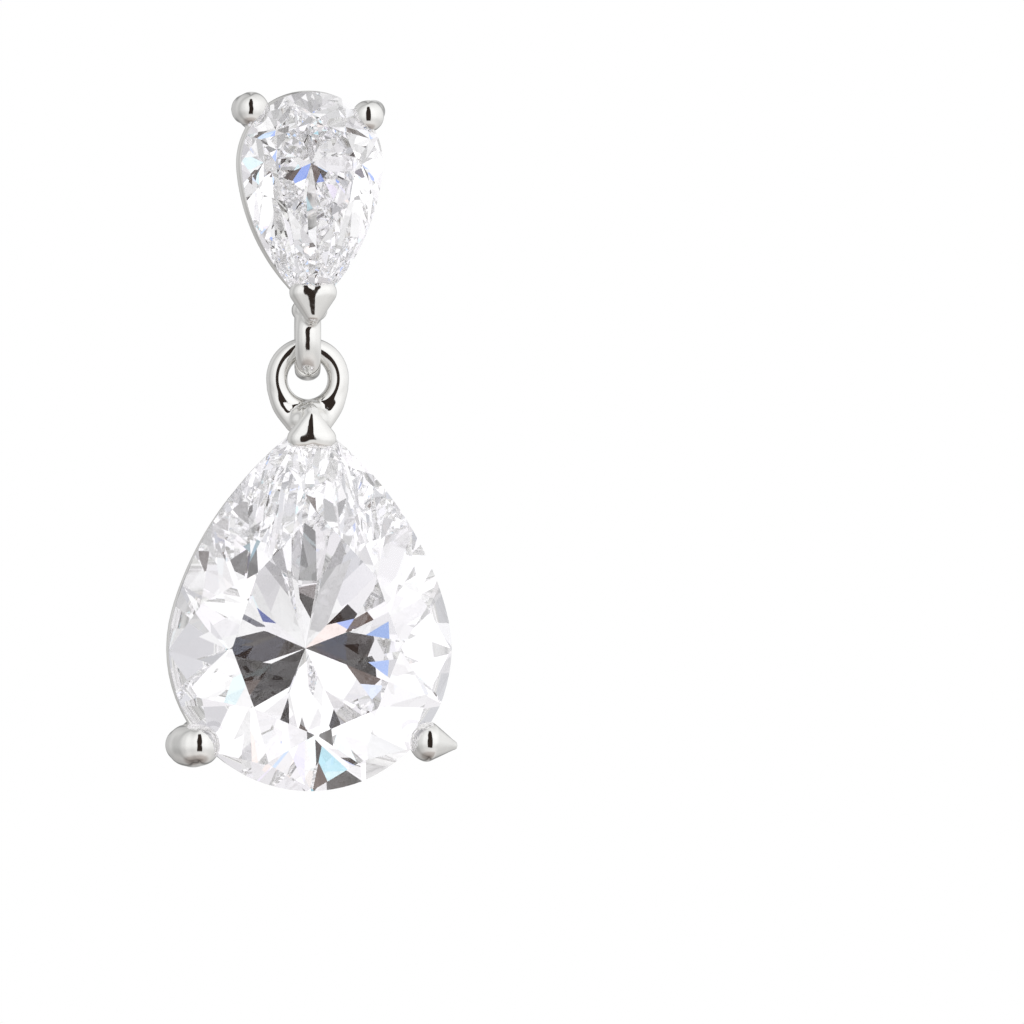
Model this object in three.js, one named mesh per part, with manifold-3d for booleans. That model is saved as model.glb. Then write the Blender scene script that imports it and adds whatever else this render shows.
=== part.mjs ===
// A pear drop earring: a pear-cut stone on an ear post, with a larger pear-cut stone that swings from it.
// Millimetres. +Z is up, the stones face -Y, and the origin is where the post enters the ear lobe's front.

import * as THREE from "three";
import { mergeVertices } from "three/addons/utils/BufferGeometryUtils.js";
import Module from "manifold-3d";

const wasm = await Module();
wasm.setup();

// ---------------------------------------------------------------------------------------------------------
// Driving dimensions. A stone and its setting share a local frame: u to the right, v towards the stone's
// point, w towards the viewer, with (0, 0, 0) at the middle of the round head, halfway through the girdle.

const SEAT_GAP = 0.04; // between a stone and the metal that holds it

const STUD_STONE = {
  halfWidth: 2.5,
  tip: 5.15, // from the middle of the head to the point
  shoulder: 5, // degrees above the widest line where the head's arc ends
  girdle: 0.16,
  crown: 1.2,
  pavilion: 2.1,
  table: 0.58, // the table's share of the outline
};

const DROP_STONE = {
  halfWidth: 5,
  tip: 8.05,
  shoulder: 16,
  girdle: 0.28,
  crown: 1.6,
  pavilion: 4.95,
  table: 0.6,
};

const STAR_HEIGHT = 0.5; // how far up the crown the star facets reach down to
const LOWER_HALF_DEPTH = 0.78; // how far down the pavilion the lower girdle facets reach

// Round the head, a setting's prong stands at an angle beyond the widest line. Its bead laps over the girdle,
// and its shank passes outside the girdle, further out than the bead by the stand.
const STUD_SETTING = {
  stone: STUD_STONE,
  wire: 0.6,
  prong: { angle: 40, radius: 0.38, stand: 0.2 },
  bead: { u: 2.12, v: -1.79, w: 0.3, halfU: 0.56, halfV: 0.58, halfW: 0.5 },
  gallery: { scale: 0.9, w: -0.92 },
  base: { scale: 0.55, w: -2.9 },
  heart: {
    lobeU: 0.4,
    lobeV: 4.66,
    lobeRadius: 0.44,
    pointV: 5.42,
    pointRadius: 0.27,
    webV: 4.98,
    web: 0.42,
    w: 0.3,
  },
  yoke: { v: 5.15, w: -0.75, width: 0.62, height: 0.45, deep: 0.55 },
};

const DROP_SETTING = {
  stone: DROP_STONE,
  wire: 0.75,
  prong: { angle: 38, radius: 0.46, stand: 0.48 },
  bead: { u: 4.2, v: -3.29, w: 0.4, halfU: 0.76, halfV: 0.7, halfW: 0.66 },
  gallery: { scale: 0.925, w: -1.26 },
  base: { scale: 0.46, w: -4.85 },
  heart: {
    lobeU: 0.4,
    lobeV: 7.51,
    lobeRadius: 0.44,
    pointV: 8.28,
    pointRadius: 0.27,
    webV: 7.78,
    web: 0.44,
    w: 0.4,
  },
  yoke: { v: 8.05, w: -0.6, width: 0.72, height: 0.42, deep: 0.66 },
};

const STUD_LOOP = { radius: 1.1, radial: 0.35, across: 0.46 }; // seen edge-on: its axis is X
const DROP_LOOP = { radius: 1.08, radial: 0.37, across: 0.37 }; // seen face-on: its axis is Y
const LOOP_GAP = 0.08; // left between the two loops where the drop hangs

const STUD_GIRDLE_Y = -3.2; // the stud's girdle stands this far in front of the lobe
const LOOPS_Y = -1.9; // both loops are centred on this plane
const STUD_LOOP_Z = -6.17;
const DROP_GIRDLE_FORWARD = 0.8; // the drop's girdle ahead of its loop, so that it hangs plumb
const LOOP_ABOVE_DROP = 9.49; // the drop loop's centre above the middle of the drop's head

const POST = { radius: 0.42, length: 10, pegRadius: 0.26, pegDepth: 0.3, gap: 0.04 };
const BRIDGE = { width: 0.95, bossRadius: 0.95, thickness: 0.55 };

const ROUND = { arc: 22, loop: 30, tube: 10, prong: 8, bead: 12, post: 20, end: 4 }; // steps in round shapes
const BEVEL = 0.3; // a rail's bevel, as a share of its wire

// ---------------------------------------------------------------------------------------------------------
// Solids

const point = (u, v, w) => new THREE.Vector3(u, v, w);

function solidOf(geometry) {
  const bare = geometry.clone();
  bare.deleteAttribute("normal");
  bare.deleteAttribute("uv");
  const merged = mergeVertices(bare, 1e-5);
  return new wasm.Manifold(
    new wasm.Mesh({
      numProp: 3,
      vertProperties: new Float32Array(merged.attributes.position.array),
      triVerts: new Uint32Array(merged.index.array),
    }),
  );
}

function geometryOf(solid) {
  const mesh = solid.getMesh();
  const geometry = new THREE.BufferGeometry();
  geometry.setAttribute("position", new THREE.BufferAttribute(mesh.vertProperties, 3));
  geometry.setIndex(new THREE.BufferAttribute(mesh.triVerts, 1));
  const flat = geometry.toNonIndexed();
  flat.computeVertexNormals();
  return flat;
}

const joined = (solids) => solids.reduce((all, solid) => all.add(solid));

// ---------------------------------------------------------------------------------------------------------
// The pear outline: a round head, and two side arcs that leave it at the shoulder angle and meet at the point

function pearOutline({ halfWidth, tip, shoulder }) {
  const phi = THREE.MathUtils.degToRad(shoulder);
  const away = (tip ** 2 - halfWidth ** 2) / (2 * (halfWidth - tip * Math.sin(phi)));
  const sideRadius = away + halfWidth;
  const centre = new THREE.Vector2(-away * Math.cos(phi), -away * Math.sin(phi));
  const tipAngle = Math.atan2(tip - centre.y, -centre.x);

  // The point of the outline in a direction from the head's middle, and the outline's normal there.
  function at(degrees) {
    const angle = THREE.MathUtils.degToRad(degrees);
    const way = new THREE.Vector2(Math.cos(angle), Math.sin(angle));
    if (way.y <= Math.sin(phi)) return { place: way.clone().multiplyScalar(halfWidth), normal: way };
    const side = new THREE.Vector2(Math.abs(way.x), way.y);
    const along = side.dot(centre);
    const reach = along + Math.sqrt(along ** 2 + sideRadius ** 2 - centre.lengthSq());
    const place = side.multiplyScalar(reach);
    const normal = place.clone().sub(centre).normalize();
    if (Math.abs(way.x) < 1e-9) return { place: new THREE.Vector2(0, tip), normal: new THREE.Vector2(0, 1) };
    if (way.x < 0) [place, normal].forEach((vector) => vector.setX(-vector.x));
    return { place, normal };
  }

  function shape(scale = 1) {
    const outline = new THREE.Shape();
    outline.absarc(centre.x * scale, centre.y * scale, sideRadius * scale, phi, tipAngle);
    const [left, right] = [Math.PI - phi, 2 * Math.PI + phi]; // the head's arc, round below its middle
    outline.absarc(-centre.x * scale, centre.y * scale, sideRadius * scale, Math.PI - tipAngle, left);
    outline.absarc(0, 0, halfWidth * scale, left, right);
    return outline;
  }

  return { halfWidth, at, shape };
}

// ---------------------------------------------------------------------------------------------------------
// The stones: a pear-shaped blank, ground flat facet by facet as a cutter does it

const MAIN_ANGLES = [90, 52, 0, -45, -90, -135, -180, -232]; // round the stone, from its point

function crossing(first, second) {
  // Where the outline's tangents at two of its points meet.
  const [a, b] = [first.normal, second.normal];
  const [p, q] = [a.dot(first.place), b.dot(second.place)];
  const area = a.x * b.y - a.y * b.x;
  return new THREE.Vector2((p * b.y - q * a.y) / area, (a.x * q - b.x * p) / area);
}

// With a clearance, every facet stands that much further out: the room the metal leaves round the stone.
function pearStone(stone, clearance = 0) {
  const outline = pearOutline(stone);
  const girdleTop = stone.girdle / 2;
  const tableW = girdleTop + stone.crown;
  const culetW = -girdleTop - stone.pavilion;
  const lift = (place, w, scale = 1) => point(place.x * scale, place.y * scale, w);

  const blank = new THREE.ExtrudeGeometry(outline.shape(1 + clearance / stone.halfWidth), {
    depth: tableW - culetW + 2 * clearance,
    curveSegments: ROUND.arc,
    bevelEnabled: false,
  });
  blank.translate(0, 0, culetW - clearance);
  let cut = solidOf(blank);

  function grind(a, b, c) {
    const plane = new THREE.Plane().setFromCoplanarPoints(a, b, c);
    if (plane.constant < 0) plane.negate(); // the stone's middle is on the side that stays
    cut = cut.trimByPlane(plane.normal.toArray(), -plane.constant - clearance);
  }

  const culet = point(0, 0, culetW);
  MAIN_ANGLES.forEach((angle, i) => {
    const nextAngle = MAIN_ANGLES[i + 1] ?? MAIN_ANGLES[0] - 360;
    const here = outline.at(angle);
    const next = outline.at(nextAngle);
    const middle = outline.at((angle + nextAngle) / 2);
    const corner = crossing(here, next);
    const tangent = point(-here.normal.y, here.normal.x, 0);

    const upper = lift(here.place, girdleTop);
    const lower = lift(here.place, -girdleTop);
    const tableCorner = lift(here.place, tableW, stone.table);
    const nextTableCorner = lift(next.place, tableW, stone.table);
    const star = lift(corner, girdleTop + stone.crown * STAR_HEIGHT, 1 - (1 - stone.table) * STAR_HEIGHT);
    const deep = lift(corner, -girdleTop - stone.pavilion * LOWER_HALF_DEPTH, 1 - LOWER_HALF_DEPTH);

    grind(upper, upper.clone().add(tangent), tableCorner);
    grind(lower, lower.clone().add(tangent), culet);
    grind(tableCorner, nextTableCorner, star);
    [here, next].forEach((side) => {
      grind(lift(side.place, girdleTop), lift(middle.place, girdleTop), star);
      grind(lift(side.place, -girdleTop), lift(middle.place, -girdleTop), deep);
    });
  });
  return cut;
}

// ---------------------------------------------------------------------------------------------------------
// The settings: two pear-shaped rails, two ball-ended prongs round the head, and a cap over the point

function rail(outline, scale, w, wire) {
  const bevel = wire * BEVEL;
  const halfWire = wire / 2 - bevel;
  const width = outline.halfWidth * scale;
  const band = outline.shape(scale * (1 + halfWire / width));
  band.holes.push(outline.shape(scale * (1 - halfWire / width)));
  const geometry = new THREE.ExtrudeGeometry(band, {
    depth: wire - 2 * bevel,
    curveSegments: Math.round(ROUND.arc / 2),
    bevelThickness: bevel,
    bevelSize: bevel,
    bevelSegments: 1,
  });
  geometry.translate(0, 0, w - wire / 2 + bevel);
  return solidOf(geometry);
}

function tube(path, radius) {
  const section = new THREE.Shape().absarc(0, 0, radius, 0, 2 * Math.PI);
  return solidOf(
    new THREE.ExtrudeGeometry(section, {
      extrudePath: path,
      steps: ROUND.prong,
      curveSegments: ROUND.tube / 2,
    }),
  );
}

function ellipsoid(u, v, w, sizeU, sizeV, sizeW) {
  const geometry = new THREE.SphereGeometry(1, ROUND.bead, ROUND.bead / 2 + 1);
  geometry.scale(sizeU, sizeV, sizeW);
  geometry.translate(u, v, w);
  return solidOf(geometry);
}

function prong(outline, setting, side) {
  const { prong: shank, bead, gallery, base } = setting;
  const { place } = outline.at(-shank.angle);
  const along = (scale, w) => point(side * place.x * scale, place.y * scale, w);
  const path = new THREE.CatmullRomCurve3([
    along(base.scale, base.w),
    along((base.scale + gallery.scale) / 2, (base.w + gallery.w) / 2),
    point(side * (bead.u + shank.stand), bead.v, gallery.w),
    point(side * bead.u, bead.v, bead.w),
  ]);
  const ball = ellipsoid(side * bead.u, bead.v, bead.w, bead.halfU, bead.halfV, bead.halfW);
  return tube(path, shank.radius).add(ball);
}

// A drop of metal, round at both ends, with a larger end and a smaller one.
function taperedDrop(from, to, largeRadius, smallRadius) {
  const length = from.distanceTo(to);
  const lean = Math.asin((largeRadius - smallRadius) / length);
  const profile = new THREE.Path();
  profile.absarc(0, 0, largeRadius, -Math.PI / 2, lean);
  profile.absarc(0, length, smallRadius, lean, Math.PI / 2);
  const outline = profile.getPoints(ROUND.end);
  outline[0].setX(0);
  outline[outline.length - 1].setX(0);
  const geometry = new THREE.LatheGeometry(outline, ROUND.tube);
  geometry.applyQuaternion(
    new THREE.Quaternion().setFromUnitVectors(point(0, 1, 0), to.clone().sub(from).normalize()),
  );
  geometry.translate(...from.toArray());
  return solidOf(geometry);
}

// Over the stone's point: a heart of two lobes, filled by a web between them. A neck past the point joins it
// to a yoke behind the girdle, and a strut joins that to the rails.
function tipCap(setting) {
  const { heart, yoke, base, gallery, stone, prong: shank } = setting;
  const lobes = [-1, 1].map((side) =>
    taperedDrop(
      point(side * heart.lobeU, heart.lobeV, heart.w),
      point(0, heart.pointV, heart.w),
      heart.lobeRadius,
      heart.pointRadius,
    ),
  );
  const web = ellipsoid(0, heart.webV, heart.w, heart.web, heart.web, heart.web);
  const neckEnds = [heart.w, yoke.w].map((w) => point(0, heart.pointV, w));
  const neck = tube(new THREE.LineCurve3(...neckEnds), heart.pointRadius + 0.02);
  const behind = ellipsoid(0, yoke.v, yoke.w, yoke.width, yoke.height, yoke.deep);
  const strut = new THREE.CatmullRomCurve3([
    point(0, stone.tip * base.scale, base.w),
    point(0, stone.tip * (base.scale + gallery.scale) * 0.5, (base.w + gallery.w) / 2),
    point(0, stone.tip * gallery.scale, gallery.w),
    point(0, yoke.v, yoke.w + 0.35),
  ]);
  return joined([...lobes, web, neck, behind, tube(strut, shank.radius)]);
}

function loop({ radius, radial, across }) {
  return new THREE.TorusGeometry(radius, radial, ROUND.tube, ROUND.loop).scale(1, 1, across / radial);
}

function basket(setting) {
  const outline = pearOutline(setting.stone);
  const { gallery, base, wire } = setting;
  return joined([
    rail(outline, gallery.scale, gallery.w, wire),
    rail(outline, base.scale, base.w, wire),
    prong(outline, setting, 1),
    prong(outline, setting, -1),
    tipCap(setting),
  ]);
}

function studSetting() {
  const { stone, base } = STUD_SETTING;
  const backW = STUD_GIRDLE_Y;
  const bar = new THREE.BoxGeometry(2 * stone.halfWidth * base.scale, BRIDGE.width, BRIDGE.thickness);
  bar.translate(0, 0, backW + BRIDGE.thickness / 2);
  const boss = new THREE.CylinderGeometry(BRIDGE.bossRadius, BRIDGE.bossRadius, BRIDGE.thickness, ROUND.post);
  boss.rotateX(Math.PI / 2);
  boss.translate(0, 0, backW + BRIDGE.thickness / 2);
  const socketRadius = POST.pegRadius + POST.gap;
  const socketDepth = POST.pegDepth + POST.gap;
  const socket = new THREE.CylinderGeometry(socketRadius, socketRadius, 2 * socketDepth, ROUND.tube);
  socket.rotateX(Math.PI / 2);
  socket.translate(0, 0, backW);

  const ring = loop(STUD_LOOP);
  ring.rotateY(Math.PI / 2);
  ring.translate(0, -STUD_LOOP_Z, STUD_GIRDLE_Y - LOOPS_Y);
  return joined([basket(STUD_SETTING), solidOf(bar), solidOf(boss), solidOf(ring)])
    .subtract(solidOf(socket))
    .subtract(pearStone(stone, SEAT_GAP));
}

function dropSetting() {
  const ring = loop(DROP_LOOP);
  ring.translate(0, LOOP_ABOVE_DROP, -DROP_GIRDLE_FORWARD);
  return basket(DROP_SETTING).add(solidOf(ring)).subtract(pearStone(DROP_STONE, SEAT_GAP));
}

// The post is turned about its own axis, Y, from the peg in the boss to its rounded end.
function earPost() {
  const { radius, length, pegRadius, pegDepth, gap } = POST;
  const profile = new THREE.Path();
  profile.moveTo(0, -pegDepth);
  profile.lineTo(pegRadius, -pegDepth);
  profile.lineTo(pegRadius, gap);
  profile.lineTo(radius, gap);
  profile.lineTo(radius, length - radius);
  profile.absarc(0, length - radius, radius, 0, Math.PI / 2);
  const outline = profile.getPoints(3);
  outline[outline.length - 1].setX(0);
  return solidOf(new THREE.LatheGeometry(outline, ROUND.post));
}

// ---------------------------------------------------------------------------------------------------------
// The earring

const silver = new THREE.MeshStandardMaterial({ color: 0xd9d8d4, roughness: 0.08, metalness: 1 });
const crystal = new THREE.MeshStandardMaterial({ color: 0xf4f6fa, roughness: 0.02, metalness: 0 });

function piece(name, solid, material) {
  const mesh = new THREE.Mesh(geometryOf(solid), material);
  mesh.name = name;
  return mesh;
}

const stud = new THREE.Group(); // its point hangs down
stud.rotation.set(Math.PI / 2, 0, Math.PI);
stud.position.set(0, STUD_GIRDLE_Y, 0);
stud.add(piece("stud_setting", studSetting(), silver), piece("stud_stone", pearStone(STUD_STONE), crystal));

const dropLoopZ =
  STUD_LOOP_Z -
  (STUD_LOOP.radius - STUD_LOOP.radial) +
  LOOP_GAP +
  2 * DROP_LOOP.radial -
  (DROP_LOOP.radius + DROP_LOOP.radial);

const drop = new THREE.Group(); // its point is up
drop.rotation.set(Math.PI / 2, 0, 0);
drop.position.set(0, LOOPS_Y - DROP_GIRDLE_FORWARD, dropLoopZ - LOOP_ABOVE_DROP);
drop.add(piece("drop_setting", dropSetting(), silver), piece("drop_stone", pearStone(DROP_STONE), crystal));

const earring = new THREE.Group();
earring.add(stud, piece("ear_post", earPost(), silver), drop);

export default earring;
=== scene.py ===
"""A teardrop earring: a small pear-cut crystal on an ear post, and a larger one that swings from it.

Shapes are worked out in millimetres in a setting's own space: u across, v towards the stone's point and
w towards the viewer, with (0, 0, 0) at the middle of the round head, halfway through the girdle.
"""

import math
import random

import bmesh
import bpy
from bpy.props import (
    FloatProperty,
    FloatVectorProperty,
    IntProperty,
    PointerProperty,
)
from mathutils import Matrix, Vector


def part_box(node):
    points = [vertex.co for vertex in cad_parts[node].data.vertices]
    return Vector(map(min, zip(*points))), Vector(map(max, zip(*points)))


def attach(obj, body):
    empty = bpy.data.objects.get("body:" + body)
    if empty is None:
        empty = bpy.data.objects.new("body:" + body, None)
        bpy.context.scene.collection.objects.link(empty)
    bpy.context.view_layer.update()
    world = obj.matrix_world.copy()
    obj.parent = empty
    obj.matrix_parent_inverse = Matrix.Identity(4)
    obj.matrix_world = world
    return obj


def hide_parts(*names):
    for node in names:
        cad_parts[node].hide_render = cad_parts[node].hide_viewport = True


bl_info = {
    "name": "Teardrop Earring",
    "version": (1, 0, 0),
    "blender": (4, 5, 0),
    "location": "3D View > Sidebar > Earring",
    "description": "Builds a pear-cut drop earring piece by piece",
    "category": "Add Mesh",
}

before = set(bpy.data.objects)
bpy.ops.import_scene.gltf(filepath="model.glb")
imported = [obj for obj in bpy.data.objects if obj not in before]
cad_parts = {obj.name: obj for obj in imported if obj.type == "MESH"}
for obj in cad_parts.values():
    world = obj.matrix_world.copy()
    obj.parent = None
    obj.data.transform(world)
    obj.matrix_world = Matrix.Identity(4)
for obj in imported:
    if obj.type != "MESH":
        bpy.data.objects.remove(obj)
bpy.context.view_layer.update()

MM = 0.001
SEAT_GAP = 0.03  # mm of air between a stone and its metal
FACET_ERROR = 0.02  # mm that a facet strays from its plan
SMOOTHING_LOSS = 0.03  # mm that smoothing a casting takes off its wires
MAIN_ANGLES = (90, 52, 0, -45, -90, -135, -180, -232)  # the main facets round a stone, from its point


# ---------------------------------------------------------------------------------------------------------
# The pear outline, and where the two stones stand


class Pear:
    """A round head, and two side arcs that leave it at the shoulder angle and meet at the point."""

    def __init__(self, half_width, tip, shoulder):
        self.half_width = half_width
        self.tip = tip
        self.phi = shoulder
        self.away = (tip**2 - half_width**2) / (2 * (half_width - tip * math.sin(shoulder)))
        self.side_radius = self.away + half_width
        self.centre = Vector((-self.away * math.cos(shoulder), -self.away * math.sin(shoulder)))
        self.tip_angle = math.atan2(tip - self.centre.y, -self.centre.x)

    def at(self, degrees):
        """The outline's point in a direction from the head's middle, and the outline's normal there."""
        angle = math.radians(degrees)
        way = Vector((math.cos(angle), math.sin(angle)))
        if abs(way.x) < 1e-9 and way.y > 0:
            return Vector((0, self.tip)), Vector((0, 1))
        if way.y <= math.sin(self.phi):
            return way * self.half_width, way
        side = Vector((abs(way.x), way.y))
        along = side.dot(self.centre)
        reach = along + math.sqrt(along**2 + self.side_radius**2 - self.centre.length_squared)
        place = side * reach
        normal = (place - self.centre).normalized()
        if way.x < 0:
            place.x, normal.x = -place.x, -normal.x
        return place, normal

    def points(self, per_arc, offset=0.0):
        """The closed outline, moved outwards by an offset, anticlockwise from the right shoulder."""
        arcs = (
            (self.centre.x, self.centre.y, self.side_radius, self.phi, self.tip_angle),
            (-self.centre.x, self.centre.y, self.side_radius, math.pi - self.tip_angle, math.pi - self.phi),
            (0, 0, self.half_width, math.pi - self.phi, 2 * math.pi + self.phi),
        )
        found = []
        for x, y, radius, start, end in arcs:
            for step in range(per_arc):
                angle = start + (end - start) * step / per_arc
                found.append(
                    Vector((x + (radius + offset) * math.cos(angle), y + (radius + offset) * math.sin(angle)))
                )
        return found

    def scaled(self, factor):
        return Pear(self.half_width * factor, self.tip * factor, self.phi)


class Stone:
    """A stone's cut and its place, read from its CAD solid's box."""

    def __init__(self, node, cut, point_up):
        low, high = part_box(node)
        self.cut = cut
        half_width = (high.x - low.x) / 2 / MM
        self.pear = Pear(half_width, (high.z - low.z) / MM - half_width, cut.shoulder)
        depth = (high.y - low.y) / MM
        self.girdle = depth * cut.girdle_share
        self.crown = depth * cut.crown_share
        self.pavilion = depth - self.girdle - self.crown
        self.table_w = self.girdle / 2 + self.crown
        girdle_y = low.y + self.table_w * MM
        head_z = low.z + half_width * MM if point_up else high.z - half_width * MM
        turn = 1 if point_up else -1
        self.to_world = Matrix(
            ((turn * MM, 0, 0, 0), (0, 0, -MM, girdle_y), (0, turn * MM, 0, head_z), (0, 0, 0, 1))
        )


def crossing(first, second):
    """Where the outline's tangents at two of its points meet."""
    (place_a, a), (place_b, b) = first, second
    p, q = a.dot(place_a), b.dot(place_b)
    area = a.x * b.y - a.y * b.x
    return Vector(((p * b.y - q * a.y) / area, (a.x * q - b.x * p) / area))


def lifted(place, w, scale=1.0):
    return Vector((place.x * scale, place.y * scale, w))


def facet_planes(stone):
    """Three points on each facet of a pear brilliant, the flat table left out."""
    outline, cut = stone.pear, stone.cut
    top, bottom = stone.girdle / 2, -stone.girdle / 2
    culet = Vector((0, 0, bottom - stone.pavilion))
    planes = []
    hand = random.Random(cut.seed)

    def grind(a, b, c):
        """A facet through three points. The cutter's hand lets the first two stray a little."""
        normal = (b - a).cross(c - a).normalized()
        first, second = (p + normal * hand.uniform(-FACET_ERROR, FACET_ERROR) for p in (a, b))
        planes.append((first, second, c))

    for i, angle in enumerate(MAIN_ANGLES):
        next_angle = MAIN_ANGLES[i + 1] if i + 1 < len(MAIN_ANGLES) else MAIN_ANGLES[0] - 360
        here, following = outline.at(angle), outline.at(next_angle)
        middle = outline.at((angle + next_angle) / 2)
        corner = crossing(here, following)
        tangent = Vector((-here[1].y, here[1].x, 0))
        table_corner = lifted(here[0], stone.table_w, cut.table_share)
        next_table_corner = lifted(following[0], stone.table_w, cut.table_share)
        star = lifted(corner, top + stone.crown * cut.star_reach, 1 - (1 - cut.table_share) * cut.star_reach)
        deep = lifted(corner, bottom - stone.pavilion * cut.lower_reach, 1 - cut.lower_reach)
        upper, lower = lifted(here[0], top), lifted(here[0], bottom)
        grind(upper, upper + tangent, table_corner)
        grind(lower, lower + tangent, culet)
        grind(table_corner, next_table_corner, star)
        for side in (here, following):
            grind(lifted(side[0], top), lifted(middle[0], top), star)
            grind(lifted(side[0], bottom), lifted(middle[0], bottom), deep)
    return planes


def ground_stone(stone, clearance=0.0, per_arc=48):
    """A pear-shaped blank ground flat facet by facet. A clearance leaves every face that much further out."""
    low = -stone.girdle / 2 - stone.pavilion - clearance
    high = stone.table_w + clearance
    bm = bmesh.new()
    ring = stone.pear.points(per_arc, clearance)
    base = bm.faces.new([bm.verts.new((p.x, p.y, low)) for p in ring])
    raised = bmesh.ops.extrude_face_region(bm, geom=[base])["geom"]
    for vert in (v for v in raised if isinstance(v, bmesh.types.BMVert)):
        vert.co.z = high
    for a, b, c in facet_planes(stone):
        normal = (b - a).cross(c - a).normalized()
        if normal.dot(a) < 0:
            normal.negate()  # the stone's middle is on the side that stays
        cut = bmesh.ops.bisect_plane(
            bm,
            geom=bm.verts[:] + bm.edges[:] + bm.faces[:],
            dist=1e-5,
            plane_co=a + normal * clearance,
            plane_no=normal,
            clear_outer=True,
        )
        rim = [e for e in cut["geom_cut"] if isinstance(e, bmesh.types.BMEdge) and e.is_boundary]
        if rim:
            bmesh.ops.holes_fill(bm, edges=rim, sides=0)
    bmesh.ops.remove_doubles(bm, verts=bm.verts, dist=2e-4)
    bmesh.ops.recalc_face_normals(bm, faces=bm.faces)
    return bm


# ---------------------------------------------------------------------------------------------------------
# Metalwork: round wires along paths, joined and rounded over as cast and soldered silver is


class Wirework:
    """Paths of round wire. A path's radius may change along it, and a paired path is mirrored across u."""

    def __init__(self):
        self.points, self.radii, self.paired, self.edges = [], [], [], []

    def add(self, points, radii, closed=False, paired=False):
        first = len(self.points)
        count = len(points)
        self.points.extend(tuple(p) for p in points)
        self.radii.extend(radii if hasattr(radii, "__len__") else [radii] * count)
        self.paired.extend([paired] * count)
        self.edges.extend((first + i, first + i + 1) for i in range(count - 1))
        if closed:
            self.edges.append((first + count - 1, first))

    def wire(self, controls, radius, paired=False, steps=10):
        """A smooth wire through its control points, with round ends."""
        self.blob_path(smooth_path([Vector(c) for c in controls], steps), radius, radius, paired)

    def blob_path(self, path, start_radius, end_radius, paired=False, cap_steps=6):
        """A wire that tapers from one radius to another, with a half ball at each end."""
        lengths = [0.0]
        for a, b in zip(path, path[1:]):
            lengths.append(lengths[-1] + (b - a).length)
        radii = [start_radius + (end_radius - start_radius) * s / lengths[-1] for s in lengths]
        head = ball_cap(path[0], (path[0] - path[1]).normalized(), start_radius, cap_steps)
        tail = ball_cap(path[-1], (path[-1] - path[-2]).normalized(), end_radius, cap_steps)
        points = [p for p, _ in reversed(head)] + list(path) + [p for p, _ in tail]
        sizes = [r for _, r in reversed(head)] + radii + [r for _, r in tail]
        self.add(points, sizes, paired=paired)

    def bead(self, centre, half_length, radius, steps=16):
        """A ball drawn out along u."""
        points, radii = [], []
        for i in range(steps + 1):
            angle = math.pi * i / steps
            points.append(Vector(centre) + Vector((-math.cos(angle) * half_length, 0, 0)))
            radii.append(max(radius * math.sin(angle), radius * 0.02))
        self.add(points, radii)

    def ring(self, centre, radius, wire_radius, across, up, steps=64):
        """A closed loop in the plane of two directions."""
        points = []
        for i in range(steps):
            angle = 2 * math.pi * i / steps
            points.append(Vector(centre) + radius * (math.cos(angle) * across + math.sin(angle) * up))
        self.add(points, wire_radius, closed=True)

    def mesh(self, name):
        mesh = bpy.data.meshes.new(name)
        mesh.from_pydata(self.points, self.edges, [])
        mesh.attributes.new("wire_radius", "FLOAT", "POINT").data.foreach_set("value", self.radii)
        mesh.attributes.new("paired", "BOOLEAN", "POINT").data.foreach_set("value", self.paired)
        return mesh


def ball_cap(centre, way, radius, steps):
    cap = []
    for i in range(1, steps + 1):
        angle = math.pi / 2 * i / steps
        cap.append((centre + way * radius * math.sin(angle), max(radius * math.cos(angle), radius * 0.03)))
    return cap


def smooth_path(controls, steps):
    """A Catmull-Rom curve through its control points."""
    ends = [2 * controls[0] - controls[1], *controls, 2 * controls[-1] - controls[-2]]
    path = []
    for a, b, c, d in zip(ends, ends[1:], ends[2:], ends[3:]):
        for i in range(steps):
            t = i / steps
            path.append(
                0.5
                * (2 * b + (c - a) * t + (2 * a - 5 * b + 4 * c - d) * t**2 + (3 * b - a - 3 * c + d) * t**3)
            )
    path.append(controls[-1])
    return path


def join(tree, value, socket):
    """Links another node's output to a socket, or sets the socket to a plain value."""
    if isinstance(value, bpy.types.NodeSocket):
        tree.links.new(value, socket)
    else:
        socket.default_value = value


def node(tree, kind, **inputs):
    """A new node, with values set on its inputs or links made to them, by the input's name."""
    made = tree.nodes.new(kind)
    for name, value in inputs.items():
        join(tree, value, made.inputs[name.replace("_", " ")])
    return made


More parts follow.
